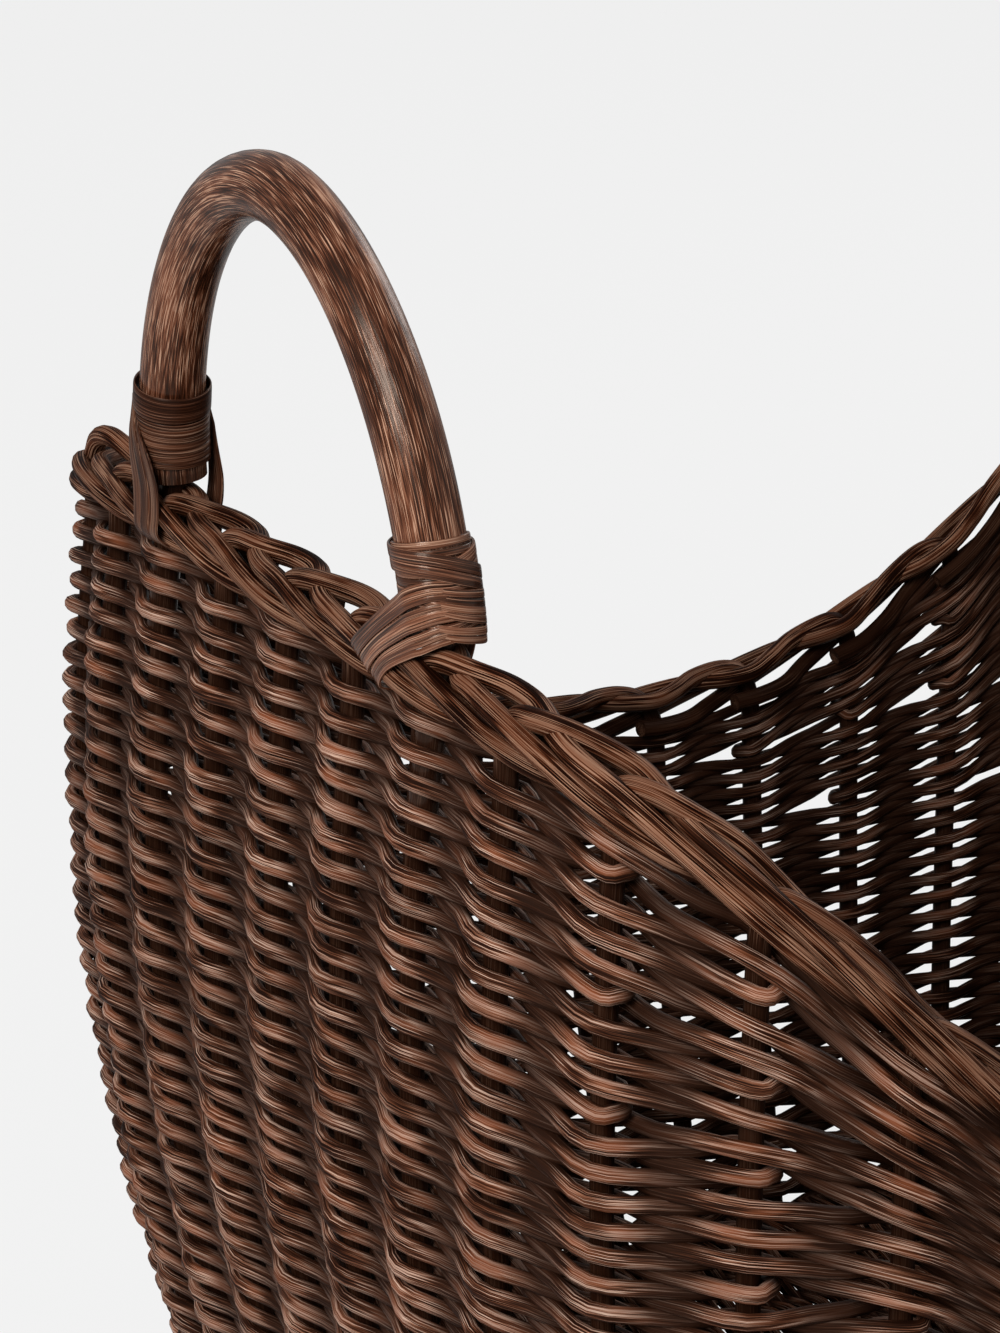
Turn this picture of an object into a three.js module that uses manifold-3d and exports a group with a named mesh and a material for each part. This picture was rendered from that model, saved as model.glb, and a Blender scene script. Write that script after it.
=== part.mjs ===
// Boat-shaped woven rattan basket with a bent pole handle lashed to each high end.
// Units are millimetres, +Z is up, +X runs along the basket from end to end.
// The origin is on the floor, under the middle of the basket.

import * as THREE from 'three';
import { mergeVertices } from 'three/addons/utils/BufferGeometryUtils.js';
import Module from 'manifold-3d';

const wasm = await Module();
wasm.setup();

// Cane sizes
const poleDiameter = 20;
const stakeDiameter = 8;
const weaverDiameter = 4.8;
const baseStickDiameter = 10;
const peelThickness = 1.1;

// Plan of the basket, measured to the middle of the woven wall at the top of the ends
const halfLength = 258;
const halfWidth = 214.5;
const cornerPower = 5;

// Side view: the rim dips in the middle of each long side
const rimHighHeight = 388.3;
const rimLowHeight = 230.5;
const dipPower = 1.88;
const dipStraightShare = 0.67;

// Wall profile: how far the wall stands in from its top line, half way down and at the floor
const middleInset = -7;
const footInset = 32.4;

// Rim border of turned-down stakes
const borderDepth = 24;
const borderHalfThickness = 10.4;
const humpHeight = 3.2;
const stakeCount = 42;
const stepsPerStake = 4;

// Foot border and base
const footHeight = 14;
const footBorderWidth = 24;
const footBevel = 3;
const matThickness = 10;
const matRodDiameter = 3.1;
const matRibSpacing = 26;
const matRibWidth = 4;
const baseStickCount = 5;
const baseStickSpacing = 52;

// Handles
const handleHalfSpan = 85;
const handleRise = 108;
const handleFullness = 1.06;
const handleLeanDegrees = 3.5;
const poleSeatDepth = 2;
const pegDiameter = 9;
const pegDepth = 52;

// Lashings of flat cane peel
const lashingTurns = 6;
const lashingStripWidth = 2.9;
const lashingTurnGap = 0.9;
const lashingStart = 2.5;
const strapThickness = 1.4;
const narrowStrapWidth = 9;
const fanStrapWidth = 18;
const innerStrapWidth = 8;
const strapTopHeight = 21;
const strapReach = 17;
const fanSlant = 0.55;
const narrowSlant = 0.3;

const touchGap = 0.3;
const facetAllowance = 0.5;

// Facets
const wallSteps = 84;
const wallLevels = 9;
const poleSides = 14;
const handleSteps = 36;
const turnSteps = 16;
const planSamples = 1440;
const stickSides = 10;
const borderSides = 8;
const settlePasses = 4;
const weldDistance = 1e-3;

const wallHalfThickness = stakeDiameter / 2 + weaverDiameter;
const poleRadius = poleDiameter / 2;
const matBottom = footHeight + touchGap;
const handleLean = THREE.MathUtils.degToRad(handleLeanDegrees);

// Colours of the stained cane
const caneMaterial = (hex, roughness) => new THREE.MeshStandardMaterial({
  color: new THREE.Color(hex),
  roughness,
  metalness: 0,
});
const weaveLook = () => caneMaterial('#4a2e22', 0.55);
const borderLook = () => caneMaterial('#553629', 0.5);
const poleLook = () => caneMaterial('#5a3a2b', 0.38);
const peelLook = () => caneMaterial('#65412f', 0.34);
const baseLook = () => caneMaterial('#3f271d', 0.6);

// How far the wall stands in from the top line at a height, a parabola through three insets
function wallInset(height) {
  const share = (rimHighHeight - height) / rimHighHeight;
  const curve = 2 * footInset - 4 * middleInset;
  const slope = 4 * middleInset - footInset;
  return curve * share * share + slope * share;
}

// Point of the plan in a direction from the middle; outward is measured from the wall's middle
function planPoint(angle, height, outward) {
  const inset = wallInset(height) - outward;
  const length = halfLength - inset;
  const width = halfWidth - inset;
  const along = Math.abs(Math.cos(angle)) / length;
  const across = Math.abs(Math.sin(angle)) / width;
  const reach = (along ** cornerPower + across ** cornerPower) ** (-1 / cornerPower);
  return new THREE.Vector2(reach * Math.cos(angle), reach * Math.sin(angle));
}

// Half the plan's length at a distance to one side of the middle line
function planLengthAt(y, height, outward) {
  const inset = wallInset(height) - outward;
  const share = Math.abs(y) / (halfWidth - inset);
  return (halfLength - inset) * (1 - share ** cornerPower) ** (1 / cornerPower);
}

// Height of the rim's crest at a distance along the basket
function rimHeight(x) {
  const share = Math.min(1, Math.abs(x) / halfLength) ** dipPower;
  const wave = (1 - Math.cos(Math.PI * share)) / 2;
  const rise = rimHighHeight - rimLowHeight;
  return rimLowHeight + rise * ((1 - dipStraightShare) * wave + dipStraightShare * share);
}

// The rim's crest height in a direction, settled with the plan at that height
function crestHeight(angle) {
  let height = rimHighHeight;
  for (let pass = 0; pass < settlePasses; pass += 1) {
    height = rimHeight(planPoint(angle, height, 0).x);
  }
  return height;
}

// Directions that divide the plan's outline into equal lengths
const outlineLengths = [0];
for (let i = 1; i <= planSamples; i += 1) {
  const from = planPoint((2 * Math.PI * (i - 1)) / planSamples, rimLowHeight, 0);
  const to = planPoint((2 * Math.PI * i) / planSamples, rimLowHeight, 0);
  outlineLengths.push(outlineLengths[i - 1] + from.distanceTo(to));
}

function directionAt(share) {
  const target = share * outlineLengths[planSamples];
  let low = 0;
  let high = planSamples;
  while (high - low > 1) {
    const middle = (low + high) >> 1;
    if (outlineLengths[middle] <= target) low = middle;
    else high = middle;
  }
  const part = (target - outlineLengths[low]) / (outlineLengths[high] - outlineLengths[low]);
  return (2 * Math.PI * (low + part)) / planSamples;
}

// Solids

function bareGeometry(geometry) {
  const bare = geometry.clone();
  bare.deleteAttribute('normal');
  bare.deleteAttribute('uv');
  return mergeVertices(bare, weldDistance);
}

function signedVolume(geometry) {
  const position = geometry.getAttribute('position');
  const corner = [0, 1, 2].map(() => new THREE.Vector3());
  let sum = 0;
  for (let i = 0; i < geometry.index.count; i += 3) {
    corner.forEach((point, k) => point.fromBufferAttribute(position, geometry.index.getX(i + k)));
    sum += corner[0].dot(corner[1].clone().cross(corner[2])) / 6;
  }
  return sum;
}

function closedGeometry(geometry) {
  const closed = bareGeometry(geometry);
  if (signedVolume(closed) < 0) {
    const index = closed.index;
    for (let i = 0; i < index.count; i += 3) {
      const second = index.getX(i + 1);
      index.setX(i + 1, index.getX(i + 2));
      index.setX(i + 2, second);
    }
  }
  return closed;
}

function toManifold(geometry) {
  const closed = closedGeometry(geometry);
  return new wasm.Manifold(new wasm.Mesh({
    numProp: 3,
    vertProperties: Float32Array.from(closed.getAttribute('position').array),
    triVerts: Uint32Array.from(closed.index.array),
  }));
}

function fromManifold(solid) {
  const mesh = solid.getMesh();
  const geometry = new THREE.BufferGeometry();
  geometry.setAttribute('position', new THREE.BufferAttribute(mesh.vertProperties, 3));
  geometry.setIndex(new THREE.BufferAttribute(mesh.triVerts, 1));
  return geometry;
}

function cutFrom(geometry, cutters) {
  return fromManifold(cutters.reduce(
    (solid, cutter) => solid.subtract(toManifold(cutter)),
    toManifold(geometry),
  ));
}

function namedMesh(name, geometry, material) {
  const finished = geometry.clone();
  finished.computeVertexNormals();
  const mesh = new THREE.Mesh(finished, material);
  mesh.name = name;
  return mesh;
}

// A closed section turned into a ring, then laid along the basket's outline by place
function ringSolid(section, steps, place) {
  const ringRadius = 1000;
  const points = section.map(([across, up]) => new THREE.Vector2(ringRadius + across, up));
  points.push(points[0].clone());
  const ring = new THREE.LatheGeometry(points, steps);
  const position = ring.getAttribute('position');
  for (let i = 0; i < position.count; i += 1) {
    const turned = Math.atan2(position.getX(i), position.getZ(i)) / (2 * Math.PI);
    const share = Math.round(((turned + 1) % 1) * steps) / steps;
    const across = Math.hypot(position.getX(i), position.getZ(i)) - ringRadius;
    const point = place(share % 1, across, position.getY(i));
    position.setXYZ(i, point.x, point.y, point.z);
  }
  return closedGeometry(ring);
}

function ellipseSection(halfAcross, halfUp, sides) {
  return Array.from({ length: sides }, (_, i) => {
    const turn = (2 * Math.PI * (i + 0.5)) / sides;
    return [halfAcross * Math.cos(turn), halfUp * Math.sin(turn)];
  });
}

function wallPoint(share, outward, height) {
  const plan = planPoint(directionAt(share), height, outward);
  return new THREE.Vector3(plan.x, plan.y, height);
}

// Round bar along a curve
function barGeometry(path, radius, sides, steps) {
  const section = new THREE.Shape(Array.from({ length: sides }, (_, i) => {
    const turn = (2 * Math.PI * i) / sides;
    return new THREE.Vector2(radius * Math.cos(turn), radius * Math.sin(turn));
  }));
  return new THREE.ExtrudeGeometry(section, { steps, bevelEnabled: false, extrudePath: path });
}

// Where a handle's legs meet the rim, on the end that points along -X
const legDirection = Math.PI - Math.atan2(handleHalfSpan, halfLength);
const legRimHeight = crestHeight(legDirection);
const legRimX = planPoint(legDirection, legRimHeight, 0).x;

// Point of a handle's own plane: sideways along Y and up along the leaning leg
function handlePoint(sideways, up) {
  return new THREE.Vector3(
    legRimX - up * Math.sin(handleLean),
    sideways,
    legRimHeight + up * Math.cos(handleLean),
  );
}

class HandleCurve extends THREE.Curve {
  getPoint(share, target = new THREE.Vector3()) {
    const legLength = poleSeatDepth;
    const archLength = Math.PI * Math.sqrt((handleHalfSpan ** 2 + handleRise ** 2) / 2);
    const whole = archLength + 2 * legLength;
    const distance = share * whole;
    if (distance < legLength) {
      return target.copy(handlePoint(handleHalfSpan, distance - legLength));
    }
    if (distance > whole - legLength) {
      return target.copy(handlePoint(-handleHalfSpan, whole - legLength - distance));
    }
    const turn = (Math.PI * (distance - legLength)) / archLength;
    const side = Math.sign(Math.cos(turn)) * Math.abs(Math.cos(turn)) ** handleFullness;
    const up = Math.sin(turn) ** handleFullness;
    return target.copy(handlePoint(handleHalfSpan * side, handleRise * up));
  }
}

// The thin peg that carries a handle leg down inside the woven wall
function pegPath(side, overlap) {
  const seat = handlePoint(side * handleHalfSpan, -poleSeatDepth);
  const footZ = seat.z - pegDepth;
  const footX = planPoint(legDirection, footZ, 0).x;
  const foot = new THREE.Vector3(footX, seat.y, footZ);
  const upward = seat.clone().sub(foot).normalize();
  const head = seat.clone().addScaledVector(upward, overlap);
  return new THREE.LineCurve3(foot, head);
}

// Room for a leg's thick end between the border's strands
function legCutter(side, clearance) {
  const from = handlePoint(side * handleHalfSpan, -poleSeatDepth - clearance);
  const to = handlePoint(side * handleHalfSpan, poleDiameter);
  return barGeometry(new THREE.LineCurve3(from, to), poleRadius + clearance, poleSides, 1);
}

// Room for a leg's peg inside the border and the woven wall
function pegCutter(side, clearance) {
  const path = pegPath(side, poleSeatDepth);
  const down = path.v1.clone().sub(path.v2).normalize();
  path.v1.addScaledVector(down, clearance);
  return barGeometry(path, pegDiameter / 2 + clearance, poleSides, 1);
}

// Repeats a piece of the -X end on the +X end by half a turn about the vertical
function onEnd(end, geometry) {
  return end === 'left' ? geometry : geometry.clone().rotateZ(Math.PI);
}

const ends = ['left', 'right'];
const sides = [1, -1];

function legCutters(makeCutter) {
  return ends.flatMap((end) => sides.map((side) => onEnd(end, makeCutter(side, touchGap))));
}

// How far the wall's faces stand apart at a place, as a share of its full thickness:
// weavers lie outside and inside each stake and cross half way to the next
function wallSwell(share) {
  const crossing = weaverDiameter / 2;
  const apart = (wallHalfThickness - crossing) * Math.abs(Math.cos(Math.PI * share * stakeCount));
  return (crossing + apart) / wallHalfThickness;
}

// Woven wall: stakes and weavers in one shell, open at the top, swelling over each stake
function wovenSide() {
  const section = [];
  for (let i = 0; i <= wallLevels; i += 1) section.push([wallHalfThickness, i / wallLevels]);
  for (let i = wallLevels; i >= 0; i -= 1) section.push([-wallHalfThickness, i / wallLevels]);
  const shell = ringSolid(section, stakeCount * stepsPerStake, (share, outward, level) => {
    const top = crestHeight(directionAt(share)) - borderDepth - touchGap;
    const height = matBottom + level * (top - matBottom);
    return wallPoint(share, outward * wallSwell(share), height);
  });
  return cutFrom(shell, legCutters(pegCutter));
}

// Rim border: the stakes bent over and plaited along the edge, a hump over each stake
function rimBorder() {
  const section = ellipseSection(borderHalfThickness, borderDepth / 2, borderSides);
  const ring = ringSolid(section, stakeCount * stepsPerStake, (share, outward, up) => {
    const wave = (1 - Math.cos(2 * Math.PI * share * stakeCount)) / 2;
    const crest = crestHeight(directionAt(share)) - humpHeight * wave * (up > 0 ? 1 : 0);
    return wallPoint(share, outward, crest - borderDepth / 2 + up);
  });
  return cutFrom(ring, [...legCutters(legCutter), ...legCutters(pegCutter)]);
}

// Foot border: the plaited ring that the basket stands on
function footBorder() {
  const outer = wallHalfThickness;
  const inner = outer - footBorderWidth;
  const section = [
    [outer - footBevel, 0],
    [outer, footBevel],
    [outer, footHeight - footBevel],
    [outer - footBevel, footHeight],
    [inner, footHeight],
    [inner, 0],
  ];
  return ringSolid(section, wallSteps, wallPoint);
}

// Base mat: the woven bottom that rests on the foot border, swelling over each lengthwise rib
function baseMat() {
  const edge = new THREE.Shape(Array.from({ length: wallSteps }, (_, i) => (
    planPoint(directionAt(i / wallSteps), matBottom, -wallHalfThickness - touchGap)
  )));
  const plate = new THREE.ExtrudeGeometry(edge, { depth: 2 * matThickness, bevelEnabled: false });
  plate.translate(0, 0, -matThickness / 2);
  const ribsEachWay = Math.ceil(halfWidth / matRibSpacing);
  const over = [];
  for (let rib = -ribsEachWay; rib <= ribsEachWay; rib += 1) {
    const y = rib * matRibSpacing;
    over.push(new THREE.Vector2(y - matRibWidth / 2, matThickness / 2));
    over.push(new THREE.Vector2(y + matRibWidth / 2, matThickness / 2));
    over.push(new THREE.Vector2(y + matRibSpacing / 2, matRodDiameter / 2));
  }
  const under = over.map((point) => new THREE.Vector2(point.x, -point.y)).reverse();
  const ridged = new THREE.ExtrudeGeometry(
    new THREE.Shape([...over, ...under]),
    { depth: 2 * halfLength, bevelEnabled: false },
  );
  // section across y and z, carried along x
  ridged.translate(0, matThickness / 2, -halfLength).rotateX(Math.PI / 2).rotateZ(Math.PI / 2);
  const mat = toManifold(plate).intersect(toManifold(ridged));
  return fromManifold(mat).translate(0, 0, matBottom);
}

// Base stick: one of the thick sticks that run lengthwise under the mat, inside the foot border
function baseStick(place) {
  const radius = baseStickDiameter / 2;
  const y = (place - (baseStickCount - 1) / 2) * baseStickSpacing;
  const z = footHeight - radius;
  const farSide = Math.abs(y) + radius;
  const reach = planLengthAt(farSide, z - radius, wallHalfThickness - footBorderWidth);
  const half = reach - touchGap - facetAllowance;
  const path = new THREE.LineCurve3(new THREE.Vector3(-half, y, z), new THREE.Vector3(half, y, z));
  return closedGeometry(barGeometry(path, radius, stickSides, 1));
}

// Handle: one bent pole with a thin peg under each leg
function handlePole() {
  const pole = toManifold(barGeometry(new HandleCurve(), poleRadius, poleSides, handleSteps));
  const pegs = sides.map((side) => toManifold(
    barGeometry(pegPath(side, poleSeatDepth / 2), pegDiameter / 2, poleSides, 1),
  ));
  return fromManifold(pegs.reduce((solid, peg) => solid.add(peg), pole));
}

// Centre and direction of a handle leg at a height above the rim
function legFrame(side, up) {
  const power = 2 / handleFullness;
  const sideways = (height) => (
    handleHalfSpan * (1 - (height / handleRise) ** power) ** (1 / power)
  );
  const centre = handlePoint(side * sideways(up), up);
  const ahead = handlePoint(side * sideways(up + 1), up + 1);
  const along = ahead.sub(centre).normalize();
  const facing = new THREE.Vector3(Math.cos(handleLean), 0, Math.sin(handleLean));
  const across = new THREE.Vector3().crossVectors(facing, along);
  return { centre, along, facing, across };
}

// Lashing: one flat strip of peel wound round a leg in close turns
function lashing(side) {
  const pitch = lashingStripWidth + lashingTurnGap;
  const inner = (poleRadius + touchGap) / Math.cos(Math.PI / turnSteps);
  const outer = inner + peelThickness;
  const count = lashingTurns * turnSteps;
  const corners = [[inner, 0], [outer, 0], [outer, lashingStripWidth], [inner, lashingStripWidth]];
  const position = [];
  const index = [];
  for (let i = 0; i <= count; i += 1) {
    const turn = (2 * Math.PI * i) / turnSteps;
    const leg = legFrame(side, lashingStart + (pitch * i) / turnSteps);
    for (const [radius, up] of corners) {
      const point = leg.centre.clone()
        .addScaledVector(leg.facing, radius * Math.cos(turn))
        .addScaledVector(leg.across, radius * Math.sin(turn))
        .addScaledVector(leg.along, up);
      position.push(point.x, point.y, point.z);
    }
  }
  const around = corners.length;
  for (let i = 0; i < count; i += 1) {
    for (let k = 0; k < around; k += 1) {
      const a = around * i + k;
      const b = around * i + ((k + 1) % around);
      index.push(a, b, a + around, b, b + around, a + around);
    }
  }
  const last = around * count;
  index.push(0, 2, 1, 0, 3, 2);
  index.push(last, last + 1, last + 2, last, last + 2, last + 3);
  const geometry = new THREE.BufferGeometry();
  geometry.setAttribute('position', new THREE.Float32BufferAttribute(position, 3));
  geometry.setIndex(index);
  console.log(`lashing, least gap between turns ${leastTurnGap(position, around).toFixed(2)} mm`);
  return closedGeometry(geometry);
}

// Least distance from the top edges of a wound strip to the bottom edges one turn further on
function leastTurnGap(position, around) {
  const point = (number) => new THREE.Vector3().fromArray(position, 3 * number);
  const turn = around * turnSteps;
  let least = Infinity;
  for (let i = 0; 3 * (i + turn) < position.length; i += around) {
    const innerGap = point(i + 3).distanceTo(point(i + turn));
    const outerGap = point(i + 2).distanceTo(point(i + turn + 1));
    least = Math.min(least, innerGap, outerGap);
  }
  return least;
}

// Strap: a flat band from the lashing down over the border; facing is -1 outside, 1 inside.
// It lies clear of the outline where the outline stands out most under it.
function strap(side, facing, width, slant) {
  const lashed = (poleRadius + touchGap) / Math.cos(Math.PI / turnSteps) + peelThickness;
  const nearest = facing < 0 ? 0 : handleHalfSpan + width;
  const direction = Math.PI - Math.atan2(nearest, halfLength);
  const besideLeg = (up) => handlePoint(0, up).x + facing * (lashed + touchGap);
  const besideWall = (height, outward) => (
    planPoint(direction, height, -facing * outward).x + facing * touchGap
  );
  const start = handlePoint(0, strapTopHeight);
  const seat = handlePoint(0, -poleSeatDepth);
  const borderMiddle = legRimHeight - borderDepth / 2;
  const end = legRimHeight - strapReach;
  const seatSide = facing * Math.max(
    facing * besideLeg(-poleSeatDepth),
    facing * besideWall(seat.z, borderHalfThickness),
  );
  const line = [
    new THREE.Vector2(besideLeg(strapTopHeight), start.z),
    new THREE.Vector2(seatSide, seat.z),
    new THREE.Vector2(besideWall(borderMiddle, borderHalfThickness), borderMiddle),
    new THREE.Vector2(besideWall(end, borderHalfThickness), end),
  ];
  const otherFace = line.map((point) => new THREE.Vector2(
    point.x + facing * strapThickness,
    point.y,
  ));
  const band = new THREE.ExtrudeGeometry(
    new THREE.Shape([...line, ...otherFace.reverse()]),
    { depth: width, bevelEnabled: false },
  );
  const position = band.getAttribute('position');
  for (let i = 0; i < position.count; i += 1) {
    const height = position.getY(i);
    const across = position.getZ(i) - width / 2;
    const y = side * (handleHalfSpan - slant * (start.z - height)) + across;
    position.setXYZ(i, position.getX(i), y, height);
  }
  return closedGeometry(band);
}

const basket = new THREE.Group();
basket.add(namedMesh('woven_side', wovenSide(), weaveLook()));
basket.add(namedMesh('rim_border', rimBorder(), borderLook()));
basket.add(namedMesh('foot_border', footBorder(), borderLook()));
basket.add(namedMesh('base_mat', baseMat(), baseLook()));
for (let place = 0; place < baseStickCount; place += 1) {
  basket.add(namedMesh(`base_stick_${place + 1}`, baseStick(place), baseLook()));
}

const handleShape = handlePole();
for (const end of ends) {
  const group = new THREE.Group();
  group.add(namedMesh(`handle_${end}`, handleShape, poleLook()));
  for (const [side, label, width, slant] of [
    [1, 'plain', narrowStrapWidth, narrowSlant],
    [-1, 'fan', fanStrapWidth, fanSlant],
  ]) {
    group.add(namedMesh(`lashing_${end}_${label}`, lashing(side), peelLook()));
    group.add(namedMesh(`outer_strap_${end}_${label}`, strap(side, -1, width, slant), peelLook()));
    group.add(namedMesh(
      `inner_strap_${end}_${label}`,
      strap(side, 1, innerStrapWidth, narrowSlant),
      peelLook(),
    ));
  }
  if (end === 'right') group.rotation.z = Math.PI;
  basket.add(group);
}

export default basket;
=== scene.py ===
import math

import bpy
import numpy as np
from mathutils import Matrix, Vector


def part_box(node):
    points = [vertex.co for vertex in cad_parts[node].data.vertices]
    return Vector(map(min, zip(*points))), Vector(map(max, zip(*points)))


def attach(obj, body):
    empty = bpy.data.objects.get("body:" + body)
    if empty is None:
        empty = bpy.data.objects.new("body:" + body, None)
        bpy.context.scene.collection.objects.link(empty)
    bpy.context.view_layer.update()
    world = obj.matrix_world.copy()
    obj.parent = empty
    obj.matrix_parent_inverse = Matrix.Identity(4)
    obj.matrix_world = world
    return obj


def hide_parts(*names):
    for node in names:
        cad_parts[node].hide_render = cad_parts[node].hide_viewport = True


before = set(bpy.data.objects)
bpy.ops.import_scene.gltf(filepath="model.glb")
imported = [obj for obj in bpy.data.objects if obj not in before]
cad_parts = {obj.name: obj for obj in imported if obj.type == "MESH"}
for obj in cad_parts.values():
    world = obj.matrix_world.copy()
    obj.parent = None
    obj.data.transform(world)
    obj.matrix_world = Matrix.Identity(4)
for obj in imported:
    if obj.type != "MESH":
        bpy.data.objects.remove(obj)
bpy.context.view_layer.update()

print("frame loaded,", len(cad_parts), "nodes")

random = np.random.default_rng(41)

# Shape of the woven wall: a rounded plan that bellies out, under a rim that dips in the middle

wall = dict(
    halfLength=0.258, halfWidth=0.2145, cornerPower=5.0,
    rimHigh=0.3883, rimLow=0.2305, dipPower=1.88, dipStraight=0.67,
    middleInset=-0.007, footInset=0.0324,
    floorHeight=0.0148,  # top of the foot border, where the rows begin
    stakes=42,
    farShift=0.42,  # far stakes stand a little further on, as they were set
    farCentre=9.8, farSpread=3.6,
    outlineSteps=1440, crestRounds=4,
)


def wallInset(height):
    # a parabola through the insets at the floor, half way and at the top of the ends
    share = (wall["rimHigh"] - height) / wall["rimHigh"]
    curve = 2 * wall["footInset"] - 4 * wall["middleInset"]
    slope = 4 * wall["middleInset"] - wall["footInset"]
    return curve * share ** 2 + slope * share


def planAt(angle, height):
    # superellipse |x/a|^p + |y/b|^p = 1 in a direction, with its outward normal from the gradient
    inset = wallInset(height)
    a = wall["halfLength"] - inset
    b = wall["halfWidth"] - inset
    p = wall["cornerPower"]
    c, s = np.cos(angle), np.sin(angle)
    reach = ((np.abs(c) / a) ** p + (np.abs(s) / b) ** p) ** (-1 / p)
    x, y = reach * c, reach * s
    nx = np.sign(x) * np.abs(x / a) ** (p - 1) / a
    ny = np.sign(y) * np.abs(y / b) ** (p - 1) / b
    size = np.hypot(nx, ny)
    return x, y, nx / size, ny / size


def rimHeight(x):
    # low in the middle, rising as a mix of a half cosine wave and a power curve
    share = np.minimum(1, np.abs(x) / wall["halfLength"]) ** wall["dipPower"]
    wave = (1 - np.cos(np.pi * share)) / 2
    k = wall["dipStraight"]
    return wall["rimLow"] + (wall["rimHigh"] - wall["rimLow"]) * ((1 - k) * wave + k * share)


def crestAt(angle):
    # the plan's size and the rim's height hang on each other, so each round comes closer
    height = np.full_like(np.asarray(angle, float), wall["rimHigh"])
    for _ in range(wall["crestRounds"]):
        height = rimHeight(planAt(angle, height)[0])
    return height


outlineAngles = np.linspace(0, 2 * np.pi, wall["outlineSteps"] + 1)
outlineX, outlineY = planAt(outlineAngles, np.full_like(outlineAngles, wall["rimLow"]))[:2]
outlineRun = np.concatenate([[0], np.cumsum(np.hypot(np.diff(outlineX), np.diff(outlineY)))])
stakeGap = outlineRun[-1] / wall["stakes"]


def angleAt(place):
    # place counts stakes round the wall from the middle of the +X end
    place = np.mod(place, wall["stakes"])
    away = (place - wall["farCentre"]) / wall["farSpread"]
    moved = place + wall["farShift"] * np.exp(-away ** 2)
    return np.interp(moved * stakeGap, outlineRun, outlineAngles)


def crestOver(place):
    return crestAt(angleAt(place))


def spotOn(place, outward, height):
    # point of the wall at a stake count, a distance outward from its middle and a height
    x, y, nx, ny = planAt(angleAt(place), height)
    point = np.stack([x + outward * nx, y + outward * ny, height], -1)
    return point, np.stack([nx, ny, np.zeros_like(nx)], -1)


# Strands: sections carried along a path, gathered into one mesh for each piece


def unit(v):
    return v / np.maximum(np.linalg.norm(v, axis=-1, keepdims=True), 1e-12)


def signedPower(v, power):
    return np.sign(v) * np.abs(v) ** power


def runAlong(path):
    return np.concatenate([[0], np.cumsum(np.linalg.norm(np.diff(path, axis=0), axis=1))])


def smoothThrough(points, steps):
    # Catmull-Rom curve through the rows of points, steps samples to each span
    points = np.asarray(points, float)
    first, last = 2 * points[:1] - points[1:2], 2 * points[-1:] - points[-2:-1]
    whole = np.concatenate([first, points, last])[:, None]
    p0, p1, p2, p3 = whole[:-3], whole[1:-2], whole[2:-1], whole[3:]
    t = (np.arange(steps) / steps)[None, :, None]
    curve = 0.5 * (2 * p1 + (p2 - p0) * t + (2 * p0 - 5 * p1 + 4 * p2 - p3) * t ** 2
                   + (3 * p1 - p0 - 3 * p2 + p3) * t ** 3)
    return np.concatenate([curve.reshape(-1, points.shape[1]), points[-1:]])


upward = np.array([0, 0, 1.0])
lengthwise = np.array([1.0, 0, 0])


def sweep(path, ref, halfAcross, halfUp, sides, seed, closed=False, power=1.0):
    # section from powers of cosine and sine, square to the path, its across way leaning to ref
    n = len(path)
    ahead = unit(np.roll(path, -1, 0) - np.roll(path, 1, 0) if closed else np.gradient(path, axis=0))
    ref = np.broadcast_to(ref, path.shape)
    across = unit(ref - (ref * ahead).sum(-1, keepdims=True) * ahead)
    up = np.cross(ahead, across)
    turn = 2 * np.pi * np.arange(sides) / sides
    wide = np.broadcast_to(halfAcross, (n,))[:, None] * signedPower(np.cos(turn), power)
    high = np.broadcast_to(halfUp, (n,))[:, None] * signedPower(np.sin(turn), power)
    co = path[:, None] + across[:, None] * wide[..., None] + up[:, None] * high[..., None]
    gone = runAlong(path)
    run = np.stack([wide, high, np.broadcast_to(gone[:, None], wide.shape)], -1)
    i, k = np.meshgrid(np.arange(n if closed else n - 1), np.arange(sides), indexing="ij")
    j, m = (i + 1) % n, (k + 1) % sides
    quads = np.stack([i * sides + k, i * sides + m, j * sides + m, j * sides + k], -1).reshape(-1, 4)
    co, run = co.reshape(-1, 3), run.reshape(-1, 3)
    tris = np.zeros((0, 3), int)
    if not closed:
        k = np.arange(sides)
        m = (k + 1) % sides
        cap, last = np.full(sides, n * sides), (n - 1) * sides
        tris = np.concatenate([np.stack([cap, m, k], -1), np.stack([cap + 1, last + k, last + m], -1)])
        co = np.concatenate([co, path[:1], path[-1:]])
        run = np.concatenate([run, [[0, 0, 0], [0, 0, gone[-1]]]])
    return dict(co=co, run=run, quads=quads, tris=tris,
                seed=np.full(len(co), seed), open=np.ones(len(co)))


def standProud(strand, path, outward, normal, full):
    # each point's distance outward from the middle of the wall, negative inside, as a share of full, which
    # sets the painted shade between strands and on the inside
    sides = len(strand["co"]) // len(path)
    rings = strand["co"][:len(path) * sides].reshape(len(path), sides, 3)
    offset = outward[:, None] + ((rings - path[:, None]) * normal[:, None]).sum(-1)
    ends = outward[[0, -1]] if len(strand["co"]) > len(path) * sides else outward[:0]
    strand["open"] = np.concatenate([offset.ravel(), ends]) / full
    return strand


def addThing(name, data):
    thing = bpy.data.objects.new(name, data)
    bpy.context.scene.collection.objects.link(thing)
    return thing


sharpAngle = math.radians(55)


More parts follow.
